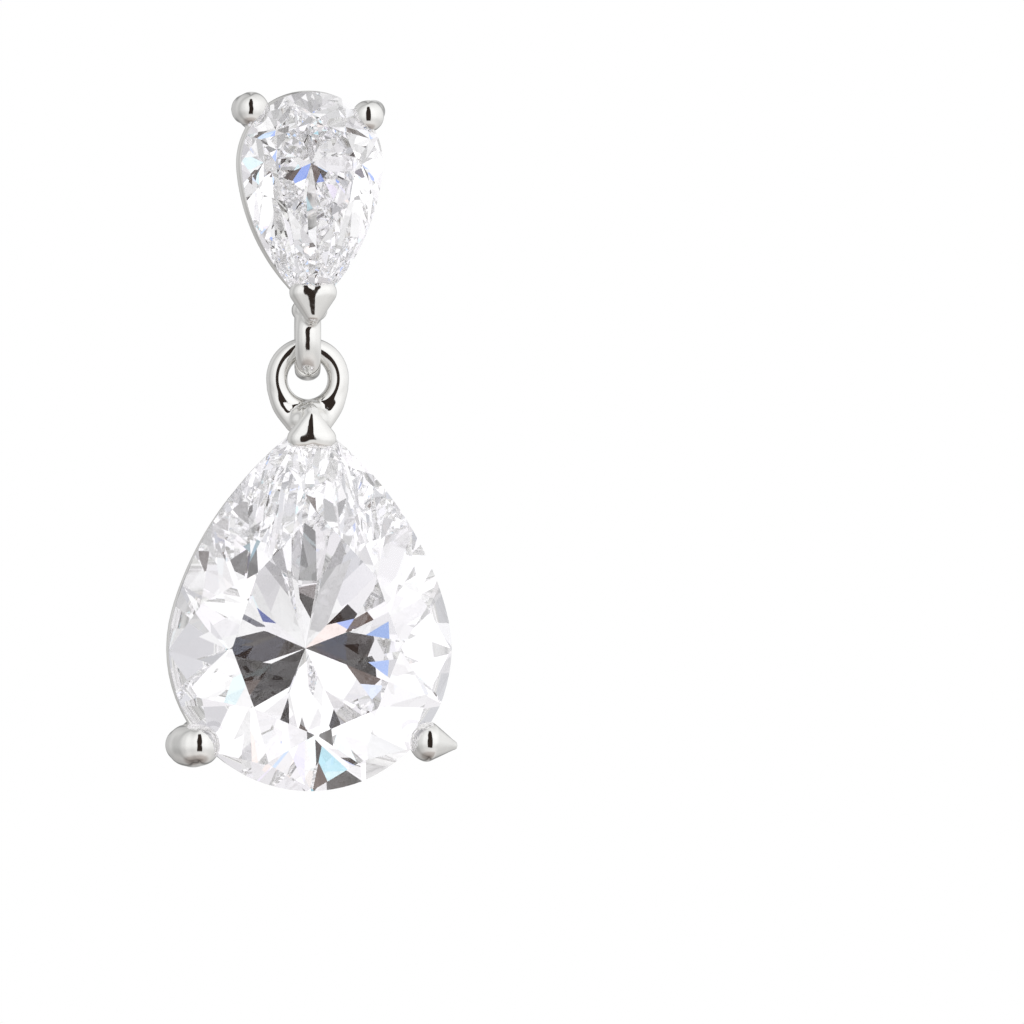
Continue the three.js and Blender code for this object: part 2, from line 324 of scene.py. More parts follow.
def round_wire_tree():
    """Geometry Nodes: each path becomes a round wire of its own radius, and the paired ones are mirrored."""
    tree = bpy.data.node_groups.get("round_wire")
    if tree:
        return tree
    tree = bpy.data.node_groups.new("round_wire", "GeometryNodeTree")
    face = tree.interface
    face.new_socket("Geometry", in_out="INPUT", socket_type="NodeSocketGeometry")
    face.new_socket("Section Sides", in_out="INPUT", socket_type="NodeSocketInt")
    face.new_socket("Growth", in_out="INPUT", socket_type="NodeSocketFloat")
    face.new_socket("Material", in_out="INPUT", socket_type="NodeSocketMaterial")
    face.new_socket("Geometry", in_out="OUTPUT", socket_type="NodeSocketGeometry")
    given = tree.nodes.new("NodeGroupInput")
    result = tree.nodes.new("NodeGroupOutput")

    paired = node(tree, "GeometryNodeInputNamedAttribute")
    paired.data_type = "BOOLEAN"
    paired.inputs["Name"].default_value = "paired"
    pick = node(
        tree,
        "GeometryNodeSeparateGeometry",
        Geometry=given.outputs["Geometry"],
        Selection=paired.outputs["Attribute"],
    )
    other_side = node(
        tree, "GeometryNodeTransform", Geometry=pick.outputs["Selection"], Scale=(-1.0, 1.0, 1.0)
    )
    both = node(tree, "GeometryNodeJoinGeometry")
    for part in (given.outputs["Geometry"], other_side.outputs["Geometry"]):
        tree.links.new(part, both.inputs["Geometry"])
    radius = node(tree, "GeometryNodeInputNamedAttribute")
    radius.data_type = "FLOAT"
    radius.inputs["Name"].default_value = "wire_radius"
    size = node(tree, "ShaderNodeMath")
    size.operation = "ADD"
    tree.links.new(radius.outputs["Attribute"], size.inputs[0])
    tree.links.new(given.outputs["Growth"], size.inputs[1])
    paths = node(tree, "GeometryNodeMeshToCurve", Mesh=both.outputs["Geometry"])
    section = node(
        tree, "GeometryNodeCurvePrimitiveCircle", Resolution=given.outputs["Section Sides"], Radius=1.0
    )
    wires = node(
        tree,
        "GeometryNodeCurveToMesh",
        Curve=paths.outputs["Curve"],
        Profile_Curve=section.outputs["Curve"],
        Scale=size.outputs["Value"],
        Fill_Caps=True,
    )
    real = node(tree, "GeometryNodeRealizeInstances", Geometry=wires.outputs["Mesh"])
    painted = node(
        tree,
        "GeometryNodeSetMaterial",
        Geometry=real.outputs["Geometry"],
        Material=given.outputs["Material"],
    )
    tree.links.new(painted.outputs["Geometry"], result.inputs["Geometry"])
    return tree


def set_inputs(modifier, **values):
    """Sets a Geometry Nodes modifier's inputs by each socket's identifier."""
    for item in modifier.node_group.interface.items_tree:
        if item.item_type == "SOCKET" and item.in_out == "INPUT":
            key = item.name.replace(" ", "_")
            if key in values:
                modifier[item.identifier] = values[key]


def linked_object(name, mesh):
    found = bpy.data.objects.new(name, mesh)
    bpy.context.scene.collection.objects.link(found)
    return found


def drawn_mesh(host):
    """What the host's modifiers make, as a mesh of its own. The host is used up."""
    graph = bpy.context.evaluated_depsgraph_get()
    made = bpy.data.meshes.new_from_object(host.evaluated_get(graph))
    used = host.data
    bpy.data.objects.remove(host)
    bpy.data.meshes.remove(used)
    return made


def cast_metal(name, wirework, cutter, voxel, metal):
    """Joins the wires into one casting, rounds its corners over, and cuts the stone's seat out of it."""
    host = linked_object(name + "_paths", wirework.mesh(name + "_paths"))
    wires = host.modifiers.new("round_wire", "NODES")
    wires.node_group = round_wire_tree()
    set_inputs(wires, Section_Sides=32, Growth=SMOOTHING_LOSS, Material=metal)
    fuse = host.modifiers.new("fuse", "REMESH")
    fuse.mode = "VOXEL"
    fuse.voxel_size = voxel
    fuse.use_smooth_shade = True
    soften = host.modifiers.new("soften", "SMOOTH")
    soften.factor = 0.5
    soften.iterations = 8
    seat = host.modifiers.new("seat", "BOOLEAN")
    seat.operation = "DIFFERENCE"
    seat.solver = "MANIFOLD"
    seat.object = cutter
    return drawn_mesh(host)


def finished(name, mesh, to_world, material, body, nodes, crease=None):
    """A finished piece: its mesh in the row frame, its material, and the CAD solid it stands for."""
    mesh.transform(to_world)
    mesh.name = name
    mesh.materials.clear()
    mesh.materials.append(material)
    if crease is None:
        mesh.shade_flat()
    else:
        mesh.shade_smooth()
        mesh.set_sharp_from_angle(angle=crease)
    piece = linked_object(name, mesh)
    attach(piece, body)
    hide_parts(*nodes)


# ---------------------------------------------------------------------------------------------------------
# Finishes


def new_group(name, inputs, outputs):
    tree = bpy.data.node_groups.new(name, "ShaderNodeTree")
    for label, default in inputs:
        socket = tree.interface.new_socket(label, in_out="INPUT", socket_type="NodeSocketFloat")
        socket.default_value = default
    for label in outputs:
        tree.interface.new_socket(label, in_out="OUTPUT", socket_type="NodeSocketFloat")
    return tree, tree.nodes.new("NodeGroupInput"), tree.nodes.new("NodeGroupOutput")


def math_node(tree, operation, a, b):
    made = tree.nodes.new("ShaderNodeMath")
    made.operation = operation
    for socket, value in zip(made.inputs, (a, b)):
        join(tree, value, socket)
    return made.outputs["Value"]


def fine_scratches():
    """Hair-fine polishing scratches in two directions."""
    tree = bpy.data.node_groups.get("fine_scratches")
    if tree:
        return tree
    tree, given, result = new_group("fine_scratches", [("Scale", 1.0), ("Amount", 1.0)], ["Height"])
    coords = tree.nodes.new("ShaderNodeTexCoord").outputs["Object"]
    total = None
    for turn, stretch in ((0.5, (600, 14000, 900)), (-0.8, (11000, 500, 700))):
        place = node(tree, "ShaderNodeMapping", Vector=coords)
        place.inputs["Rotation"].default_value = (turn, 0.4, turn)
        place.inputs["Scale"].default_value = stretch
        lines = node(tree, "ShaderNodeTexNoise", Vector=place.outputs["Vector"], Detail=2.0, Roughness=0.5)
        tree.links.new(given.outputs["Scale"], lines.inputs["Scale"])
        total = lines.outputs["Fac"] if total is None else math_node(tree, "ADD", total, lines.outputs["Fac"])
    tree.links.new(math_node(tree, "MULTIPLY", total, given.outputs["Amount"]), result.inputs["Height"])
    return tree


def handling_film():
    """A faint, uneven film from handling and dust: 0 where clean, 1 where most handled."""
    tree = bpy.data.node_groups.get("handling_film")
    if tree:
        return tree
    tree, given, result = new_group("handling_film", [("Scale", 400.0), ("Cover", 0.5)], ["Film"])
    coords = tree.nodes.new("ShaderNodeTexCoord").outputs["Object"]
    cloud = node(tree, "ShaderNodeTexNoise", Vector=coords, Detail=5.0, Roughness=0.62)
    tree.links.new(given.outputs["Scale"], cloud.inputs["Scale"])
    edge = math_node(tree, "SUBTRACT", 1.0, given.outputs["Cover"])
    grown = math_node(tree, "SUBTRACT", cloud.outputs["Fac"], math_node(tree, "MULTIPLY", edge, 0.6))
    film = node(tree, "ShaderNodeClamp", Value=math_node(tree, "MULTIPLY", grown, 3.0))
    tree.links.new(film.outputs["Result"], result.inputs["Film"])
    return tree


def grouped(tree, group, **values):
    made = tree.nodes.new("ShaderNodeGroup")
    made.node_tree = group
    for name, value in values.items():
        made.inputs[name].default_value = value
    return made


def ramped(tree, value, low, high):
    """A value from 0 to 1 spread over another range."""
    spread = node(tree, "ShaderNodeMapRange", Value=value)
    spread.inputs["To Min"].default_value = low
    spread.inputs["To Max"].default_value = high
    return spread.outputs["Result"]


def ramp(tree, value, stops):
    """A colour ramp over a value from 0 to 1. Each stop is a place and a grey level or a colour."""
    made = tree.nodes.new("ShaderNodeValToRGB")
    made.color_ramp.interpolation = "EASE"
    tree.links.new(value, made.inputs["Fac"])
    marks = made.color_ramp.elements
    marks.remove(marks[1])
    for i, (place, colour) in enumerate(stops):
        mark = marks[0] if i == 0 else marks.new(place)
        mark.position = place
        mark.color = (*colour, 1) if isinstance(colour, tuple) else (colour, colour, colour, 1)
    return made.outputs["Color"]


def mixed(tree, factor, first, second, blend="MIX"):
    """Two colours mixed or blended. Any of the three may be a value or another node's output."""
    mix = tree.nodes.new("ShaderNodeMix")
    mix.data_type = "RGBA"
    mix.blend_type = blend
    for index, value in ((0, factor), (6, first), (7, second)):
        join(tree, value, mix.inputs[index])
    return mix.outputs[2]


def smooth_step(tree, value, low, high):
    """0 below the low value and 1 above the high one, with a smooth rise between them."""
    made = node(tree, "ShaderNodeMapRange", Value=value)
    made.interpolation_type = "SMOOTHSTEP"
    made.inputs["From Min"].default_value = low
    made.inputs["From Max"].default_value = high
    return made.outputs["Result"]


def new_material(name):
    material = bpy.data.materials.new(name)
    material.use_nodes = True
    tree = material.node_tree
    return material, tree, tree.nodes["Principled BSDF"]


# How the film and the scratches show. The scratches' depth is in metres.
METAL_FILM = {"scale": 700.0, "cover": 0.45, "darkens": 0.93, "roughens": 2.2}
CRYSTAL_FILM = {"scale": 260.0, "cover": 0.35, "darkens": 0.985}
SCRATCHES = {"strength": 0.05, "depth": 0.000004}


def filmed(tree, colour, kind):
    """A colour darkened where the handling film lies, and the film itself."""
    film = grouped(tree, handling_film(), Scale=kind["scale"], Cover=kind["cover"]).outputs["Film"]
    darker = tuple(c * kind["darkens"] for c in colour)
    return mixed(tree, film, (*colour, 1), (*darker, 1)), film


def rhodium_plate(finish):
    """Mirror-polished white metal with hair scratches and a faint, uneven film."""
    material = bpy.data.materials.get("rhodium_plate")
    if material:
        return material
    material, tree, shader = new_material("rhodium_plate")
    colour, film = filmed(tree, finish.metal_colour, METAL_FILM)
    tree.links.new(colour, shader.inputs["Base Color"])
    shader.inputs["Metallic"].default_value = 1.0
    clean = finish.metal_roughness
    tree.links.new(ramped(tree, film, clean, clean * METAL_FILM["roughens"]), shader.inputs["Roughness"])
    scratches = grouped(tree, fine_scratches(), Scale=1.0, Amount=1.0)
    bump = node(
        tree,
        "ShaderNodeBump",
        Height=scratches.outputs["Height"],
        Strength=SCRATCHES["strength"],
        Distance=SCRATCHES["depth"],
    )
    tree.links.new(bump.outputs["Normal"], shader.inputs["Normal"])
    return material


def clear_crystal(finish):
    """Colourless, strongly refracting crystal with polished facets."""
    material = bpy.data.materials.get("clear_crystal")
    if material:
        return material
    material, tree, shader = new_material("clear_crystal")
    colour, _ = filmed(tree, finish.crystal_colour, CRYSTAL_FILM)
    tree.links.new(colour, shader.inputs["Base Color"])
    shader.inputs["Metallic"].default_value = 0.0
    shader.inputs["Transmission Weight"].default_value = 1.0
    shader.inputs["IOR"].default_value = finish.refractive_index
    shader.inputs["Roughness"].default_value = finish.crystal_roughness
    return material


# ---------------------------------------------------------------------------------------------------------
# Settings of the add-on


def share(name, description, default):
    return FloatProperty(
        name=name, description=description, default=default, min=0, max=1, subtype="FACTOR"
    )


def length(name, description, default):
    return FloatProperty(
        name=name, description=description, default=default, min=0, unit="LENGTH", precision=5
    )


class EARRING_PG_cut(bpy.types.PropertyGroup):
    """How a stone is cut"""

    shoulder: FloatProperty(
        name="Shoulder",
        description="Angle above the widest line where the round head's arc ends",
        default=math.radians(16),
        subtype="ANGLE",
    )
    girdle_share: share("Girdle", "The girdle's share of the stone's depth", 0.041)
    crown_share: share("Crown", "The crown's share of the stone's depth", 0.2343)
    table_share: share("Table", "The table's share of the outline", 0.6)
    star_reach: share("Star reach", "How far up the crown the star facets reach down to", 0.5)
    lower_reach: share("Lower reach", "How far down the pavilion the lower girdle facets reach", 0.72)
    seed: IntProperty(name="Seed", description="Which way this stone's facets stray", default=3, min=0)


class EARRING_PG_finish(bpy.types.PropertyGroup):
    """Colours and polish"""

    metal_colour: FloatVectorProperty(
        name="Metal colour",
        description="Colour of the plated metal",
        default=(0.86, 0.855, 0.84),
        min=0,
        max=1,
        subtype="COLOR",
    )
    metal_roughness: share("Metal roughness", "Roughness of the clean polished metal", 0.045)
    crystal_colour: FloatVectorProperty(
        name="Crystal colour",
        description="Tint that the crystal gives to light at each face",
        default=(0.995, 0.997, 1.0),
        min=0,
        max=1,
        subtype="COLOR",
    )
    crystal_roughness: share("Crystal roughness", "Roughness of the polished facets", 0.008)
    refractive_index: FloatProperty(
        name="Refractive index",
        description="How strongly the crystal bends light",
        default=2.16,
        min=1,
        max=3,
    )


class EARRING_PG_stage(bpy.types.PropertyGroup):
    """Camera and studio"""

    azimuth: FloatProperty(
        name="Azimuth",
        description="The camera's angle round the earring, from straight in front",
        default=math.radians(-8),
        subtype="ANGLE",
    )
    distance: length("Distance", "From the camera to the earring", 0.4)
    view_width: length("View width", "Width of what the camera sees at the earring", 0.0358)
    aside: length("Aside", "How far to the right of the earring the camera looks", 0.00684)
    fall: length("Fall", "How far below the stud's widest line the camera looks", 0.01224)
    floor_drop: length("Floor drop", "How far the floor lies below the earring's origin", 0.08)


class EARRING_PG_build(bpy.types.PropertyGroup):
    """Everything the earring is built from"""

    stud_cut: PointerProperty(type=EARRING_PG_cut, name="Stud stone", description="The small stone's cut")
    drop_cut: PointerProperty(type=EARRING_PG_cut, name="Drop stone", description="The large stone's cut")
    finish: PointerProperty(type=EARRING_PG_finish, name="Finish", description="Colours and polish")
    stage: PointerProperty(type=EARRING_PG_stage, name="Stage", description="Camera and studio")
    girdle_steps: IntProperty(
        name="Girdle steps", description="Straight steps in each arc of a stone's outline", default=48, min=8
    )


def stud_stone(build):
    return Stone("stud_stone", build.stud_cut, point_up=False)


def drop_stone(build):
    return Stone("drop_stone", build.drop_cut, point_up=True)


# ---------------------------------------------------------------------------------------------------------
# Sizes of the metalwork in mm, and the parts that both settings have


# Ribs that fan out from a heart's point: how far across towards the lobe each goes, as a share, how far
# short of the lobe it stops, and how far forward it stands.
HEART_RIBS = ((0, 0.1, 0.07), (0.3, 0.06, 0.06), (0.6, 0.01, 0.04), (0.85, 0, 0.015), (1, 0, 0))

NECK = {"radius": 0.26, "sink": 0.1}  # the wire from inside a heart back to its yoke
STRUT_RISE = 0.35  # how far in front of the yoke's middle the strut ends

# A setting's bead is where both prongs' shanks end, and the claws are balls drawn together round each
# shank's end. The yoke is the bar that joins the heart, the strut and the loop.
STUD_METAL = {
    "voxel": 0.05,
    "wire": 0.6,
    "shank": 0.38,
    "prong_angle": 40,
    "stand": 0.1,
    "bead": (2.12, -1.79, 0.1),
    "claws": (
        (((2.18, -1.86, 0.3), 0.6), ((2.31, -1.87, 0.0), 0.52)),
        (((-1.94, -1.64, 0.3), 0.54), ((-2.0, -1.66, 0.0), 0.48)),
    ),
    "gallery": (0.9, -0.92),
    "base": (0.55, -2.9),
    "lobe": (0.4, 4.53, 0.42),
    "heart_point": (5.26, 0.34),
    "neck_v": 5.42,
    "heart_w": 0.3,
    "yoke": (5.15, -0.75),
    "yoke_size": (0.62, 0.43, 0.55),
}
STUD_LOOP = {"z": -6.17, "y": -1.9, "radius": 1.1, "radial": 0.335, "across": 0.43, "turn": 0.1}
LOOP_STRANDS = (-0.55, -0.28, 0, 0.28, 0.55)  # where the round wires that fill its oval one lie

DROP_METAL = {
    "voxel": 0.06,
    "wire": 0.75,
    "shank": 0.46,
    "prong_angle": 38,
    "stand": 0.14,
    "bead": (4.2, -3.32, 0.2),
    "claws": (
        (
            ((-3.95, -3.37, 0.42), 0.7),
            ((-4.16, -3.38, 0.28), 0.75),
            ((-4.34, -3.37, 0.12), 0.72),
            ((-4.5, -3.36, -0.05), 0.6),
        ),
        (((4.16, -3.28, 0.4), 0.69), ((5.07, -3.41, 0.1), 0.14)),
    ),
    "gallery": (0.91, -1.26),
    "base": (0.46, -4.85),
    "lobe": (0.43, 7.36, 0.42),
    "heart_point": (8.1, 0.28),
    "neck_v": 8.28,
    "heart_w": 0.4,
    "yoke": (8.05, -0.6),
    "yoke_size": (0.72, 0.42, 0.66),
}
DROP_LOOP = {"radius": 1.09, "wire": 0.35, "above": 9.49, "behind": 0.8}
# At the foot of the drop's loop, from its wire's middle: lumps of solder, each with its half length and
# radius, and the pair of shoulder wires.
SOLDER = (
    (0.1, 0.12, 0.36, 0.34, 0.17),
    (-0.24, -0.04, 0.4, 0.24, 0.15),
    (0.3, -0.12, 0.38, 0.22, 0.16),
    (0.02, -0.24, 0.42, 0.32, 0.15),
)
SHOULDER = {"path": ((1.12, 0.75, 0.0), (0.92, 0.1, 0.08), (0.5, -0.5, 0.3)), "radius": 0.3}
BOSS = {"radius": 0.95, "thickness": 0.55, "bar": 0.95}
POST = {"peg": 0.26, "shoulder": 0.04}  # the thin peg's radius, and where it ends
GROOVE = {"start": 2.3, "end": 1.8, "bevel": 0.15, "share": 0.84}  # round the post, back from its tip
CREASE = math.radians(42)  # edges sharper than this stay sharp on the castings


def seat_cutter(stone):
    bm = ground_stone(stone, clearance=SEAT_GAP)
    bmesh.ops.triangulate(bm, faces=bm.faces)
    mesh = bpy.data.meshes.new("seat_cutter")
    bm.to_mesh(mesh)
    bm.free()
    cutter = linked_object("seat_cutter", mesh)
    cutter.hide_render = True
    return cutter


def basket(work, stone, size):
    """The parts both settings have: two rails, a pair of prongs, the strut and the cap over the point."""
    pear = stone.pear
    for scale, w in (size["gallery"], size["base"]):
        ring = pear.scaled(scale).points(40)
        work.add([lifted(p, w) for p in ring], size["wire"] / 2, closed=True)

    (gallery_scale, gallery_w), (base_scale, base_w) = size["gallery"], size["base"]
    side = pear.at(-size["prong_angle"])[0]
    bead_u, bead_v, bead_w = size["bead"]
    work.wire(
        [
            lifted(side, base_w, base_scale),
            lifted(side, (base_w + gallery_w) / 2, (base_scale + gallery_scale) / 2),
            (bead_u + size["stand"], bead_v, gallery_w),
            (bead_u, bead_v, bead_w),
        ],
        size["shank"],
        paired=True,
    )
    for balls in size["claws"]:
        for (front, front_radius), (back, back_radius) in zip(balls, balls[1:]):
            work.blob_path([Vector(front), Vector(back)], front_radius, back_radius)

    lobe_u, lobe_v, lobe_radius = size["lobe"]
    point_v, point_radius = size["heart_point"]
    heart_w = size["heart_w"]
    heart_point = Vector((0, point_v, heart_w))
    for across, notch, forward in HEART_RIBS:
        top = Vector((across * lobe_u, lobe_v + notch, heart_w + forward))
        work.blob_path([top, heart_point], lobe_radius, point_radius, paired=across > 0)
    yoke_v, yoke_w = size["yoke"]
    yoke_width, yoke_height, yoke_deep = size["yoke_size"]
    neck_v = size["neck_v"]
    neck = [Vector((0, neck_v, heart_w - NECK["sink"])), Vector((0, neck_v, yoke_w))]
    work.blob_path(neck, NECK["radius"], NECK["radius"])
    work.wire(
        [
            (0, pear.tip * base_scale, base_w),
            (0, pear.tip * (base_scale + gallery_scale) / 2, (base_w + gallery_w) / 2),
            (0, pear.tip * gallery_scale, gallery_w),
            (0, yoke_v, yoke_w + STRUT_RISE),
        ],
        size["shank"],
    )
    for side in (-1, 1):
        work.bead((0, yoke_v, yoke_w + side * (yoke_deep - yoke_height)), yoke_width, yoke_height)


# ---------------------------------------------------------------------------------------------------------
# Operators


class EARRING_OT_cut_stones(bpy.types.Operator):
    """Cuts the two pear-shaped stones"""

    bl_idname = "earring.cut_stones"
    bl_label = "Cut Stones"

    def execute(self, context):
        build = context.scene.earring
        for name, stone, body in (
            ("stud_crystal", stud_stone(build), "stud"),
            ("drop_crystal", drop_stone(build), "drop"),
        ):
            bm = ground_stone(stone, per_arc=build.girdle_steps)
            mesh = bpy.data.meshes.new(name)
            bm.to_mesh(mesh)
            bm.free()
            crystal = clear_crystal(build.finish)
            cad_node = name.replace("crystal", "stone")
            finished(name, mesh, stone.to_world, crystal, body, [cad_node])
        return {"FINISHED"}


class EARRING_OT_cast_stud_setting(bpy.types.Operator):
    """Casts the small stone's setting with its loop and the boss for the post"""

    bl_idname = "earring.cast_stud_setting"
    bl_label = "Cast Stud Setting"

    def execute(self, context):
        build = context.scene.earring
        stone = stud_stone(build)
        to_local = stone.to_world.inverted()
        work = Wirework()
        basket(work, stone, STUD_METAL)

        bar_wire = BOSS["thickness"] / 2
        back = to_local @ Vector((0, 0, 0))
        centre = back + Vector((0, 0, bar_wire))
        reach = stone.pear.half_width * STUD_METAL["base"][0]
        side_step = (BOSS["bar"] / 2 - bar_wire) / 2
        for step in range(-2, 3):
            bar_v = centre.y + step * side_step
            work.add([(-reach, bar_v, centre.z), (reach, bar_v, centre.z)], bar_wire)
        work.add([back, back + Vector((0, 0, BOSS["thickness"]))], BOSS["radius"])

        loop_centre = to_local @ Vector((0, STUD_LOOP["y"] * MM, STUD_LOOP["z"] * MM))
        radial = STUD_LOOP["radial"]
        focus = math.sqrt(STUD_LOOP["across"] ** 2 - radial**2)
        for strand in LOOP_STRANDS:
            work.ring(
                loop_centre + Vector((strand * focus, 0, 0)),
                STUD_LOOP["radius"],
                radial * math.sqrt(1 - strand**2),
                Vector((0, 1, 0)),
                Vector((math.sin(STUD_LOOP["turn"]), 0, math.cos(STUD_LOOP["turn"]))),
            )

        cutter = seat_cutter(stone)
        metal = rhodium_plate(build.finish)
        mesh = cast_metal("stud_silver", work, cutter, STUD_METAL["voxel"], metal)
        bpy.data.objects.remove(cutter)
        finished("stud_silver", mesh, stone.to_world, metal, "stud", ["stud_setting"], CREASE)
        return {"FINISHED"}


class EARRING_OT_cast_drop_setting(bpy.types.Operator):
    """Casts the large stone's setting with the loop soldered above it"""

    bl_idname = "earring.cast_drop_setting"
    bl_label = "Cast Drop Setting"

    def execute(self, context):
        build = context.scene.earring
        stone = drop_stone(build)
        work = Wirework()
        basket(work, stone, DROP_METAL)
        work.ring(
            (0, DROP_LOOP["above"], -DROP_LOOP["behind"]),
            DROP_LOOP["radius"],
            DROP_LOOP["wire"],
            Vector((1, 0, 0)),
            Vector((0, 1, 0)),
        )
        foot_v = DROP_LOOP["above"] - DROP_LOOP["radius"]
        for u, v, w, half_length, radius in SOLDER:
            work.bead((u, foot_v + v, w - DROP_LOOP["behind"]), half_length, radius)
        shoulder = [(u, foot_v + v, w - DROP_LOOP["behind"]) for u, v, w in SHOULDER["path"]]
        work.wire(shoulder, SHOULDER["radius"], paired=True)
        cutter = seat_cutter(stone)
        metal = rhodium_plate(build.finish)
        mesh = cast_metal("drop_silver", work, cutter, DROP_METAL["voxel"], metal)
        bpy.data.objects.remove(cutter)
        finished("drop_silver", mesh, stone.to_world, metal, "drop", ["drop_setting"], CREASE)
        return {"FINISHED"}


class EARRING_OT_draw_ear_post(bpy.types.Operator):
    """Draws the straight post that goes through the ear"""

    bl_idname = "earring.draw_ear_post"
    bl_label = "Draw Ear Post"

    def execute(self, context):
        build = context.scene.earring
        low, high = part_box("ear_post")
        radius = (high.x - low.x) / 2 / MM
        start, end = low.y / MM, high.y / MM
        work = Wirework()
        thin = radius * GROOVE["share"]
        profile = [
            (start, POST["peg"]),
            (POST["shoulder"], POST["peg"]),
            (POST["shoulder"] + 0.01, radius * 0.97),
            (POST["shoulder"] + 0.08, radius),
            (end - GROOVE["start"], radius),
            (end - GROOVE["start"] + GROOVE["bevel"], thin),
            (end - GROOVE["end"] - GROOVE["bevel"], thin),
            (end - GROOVE["end"], radius),
        ]
        tip_steps = 8
        for i in range(tip_steps + 1):
            angle = math.pi / 2 * i / tip_steps
            profile.append((end - radius + radius * math.sin(angle), max(radius * math.cos(angle), 0.02)))
        work.add([Vector((0, along, 0)) for along, _ in profile], [size for _, size in profile])
        host = linked_object("ear_post_path", work.mesh("ear_post_path"))
        metal = rhodium_plate(build.finish)
        wires = host.modifiers.new("round_wire", "NODES")
        wires.node_group = round_wire_tree()
        set_inputs(wires, Section_Sides=48, Growth=0.0, Material=metal)
        mesh = drawn_mesh(host)
        to_world = Matrix.Scale(MM, 4)
        finished("post_silver", mesh, to_world, metal, "stud", ["ear_post"], math.radians(35))
        return {"FINISHED"}


# The studio: walls by degrees to the right of the camera, heights by degrees above it. The metal and the
# crystals each mirror a tent of their own, with a dark gap where the camera looks in.
FLOOR = {"radius": 0.4, "colour": 0.96, "roughness": 0.7, "light": 1.04}
SENSOR_WIDTH = 36  # mm
LIGHT_BOUNCES = 64  # light is mirrored many times in a stone's point before it finds a way out
GAP_BLUR = {"sides": 1, "ends": 4}
METAL_GAP = {"left": 11, "right": 19, "low": -31, "high": 68}
METAL_GAP_COLOURS = ((0, (0.035, 0.026, 0.022)),)
CRYSTAL_GAP = {"left": 12, "right": 10, "low": -14, "high": 34}
CRYSTAL_GAP_COLOURS = (
    (-14, (0.012, 0.01, 0.01)),
    (-2, (0.05, 0.036, 0.032)),
    (10, (0.16, 0.115, 0.1)),
    (24, (0.04, 0.035, 0.034)),
)
METAL_WALLS = (
    (-180, 0.7),
    (-166, 0.3),
    (-150, 0.62),
    (-110, 0.72),
    (-85, 0.6),
    (-55, 0.84),
    (-25, 1.05),
    (40, 1.15),
    (85, 1.05),
    (130, 0.95),
    (150, 0.8),
    (166, 0.35),
    (180, 0.7),
)
METAL_HEIGHTS = (
    (-90, (0.22, 0.19, 0.175)),
    (-66, (0.5, 0.46, 0.44)),
    (-46, (0.8, 0.785, 0.775)),
    (-28, (0.77, 0.765, 0.76)),
    (4, (1.0, 1.0, 1.0)),
    (30, (1.05, 1.05, 1.05)),
    (90, (0.85, 0.85, 0.85)),
)
CRYSTAL_WALLS = (
    (-180, (1.02, 1.02, 1.04)),
    (-130, (1.1, 1.08, 1.15)),
    (-105, (0.58, 0.58, 0.61)),
    (-92, (0.56, 0.56, 0.59)),
    (-76, (1.14, 1.1, 1.12)),
    (-60, (1.32, 1.29, 1.36)),
    (-42, (0.92, 0.9, 0.93)),
    (-32, (0.95, 0.93, 0.96)),
    (-24, (1.18, 1.17, 1.18)),
    (24, (1.18, 1.17, 1.18)),
    (34, (0.98, 0.96, 0.99)),
    (44, (0.98, 0.96, 0.99)),
    (56, (1.34, 1.31, 1.36)),
    (76, (1.16, 1.12, 1.16)),
    (92, (0.6, 0.59, 0.62)),
    (108, (0.66, 0.66, 0.7)),
    (125, (1.1, 1.08, 1.12)),
    (180, (1.02, 1.02, 1.04)),
)
CRYSTAL_HEIGHTS = ((-90, 0.3), (-52, 0.5), (-32, 0.88), (0, 1.0), (36, 1.15), (62, 0.85), (90, 0.6))
# Faint bands of colour that the crystals alone mirror, in place of the fire of a real stone.
FIRE_HEIGHTS = {"low": -8, "high": 22, "blur": 6}
FIRE = (
    (-28, (1.0, 1.0, 1.0)),
    (-22, (1.0, 0.88, 0.84)),
    (-17, (0.75, 0.93, 0.97)),
    (-12, (0.4, 0.72, 0.84)),
    (10, (0.22, 0.34, 0.86)),
    (15, (0.6, 0.76, 1.0)),
    (20, (0.92, 0.86, 1.0)),
    (26, (1.0, 1.0, 1.0)),
)


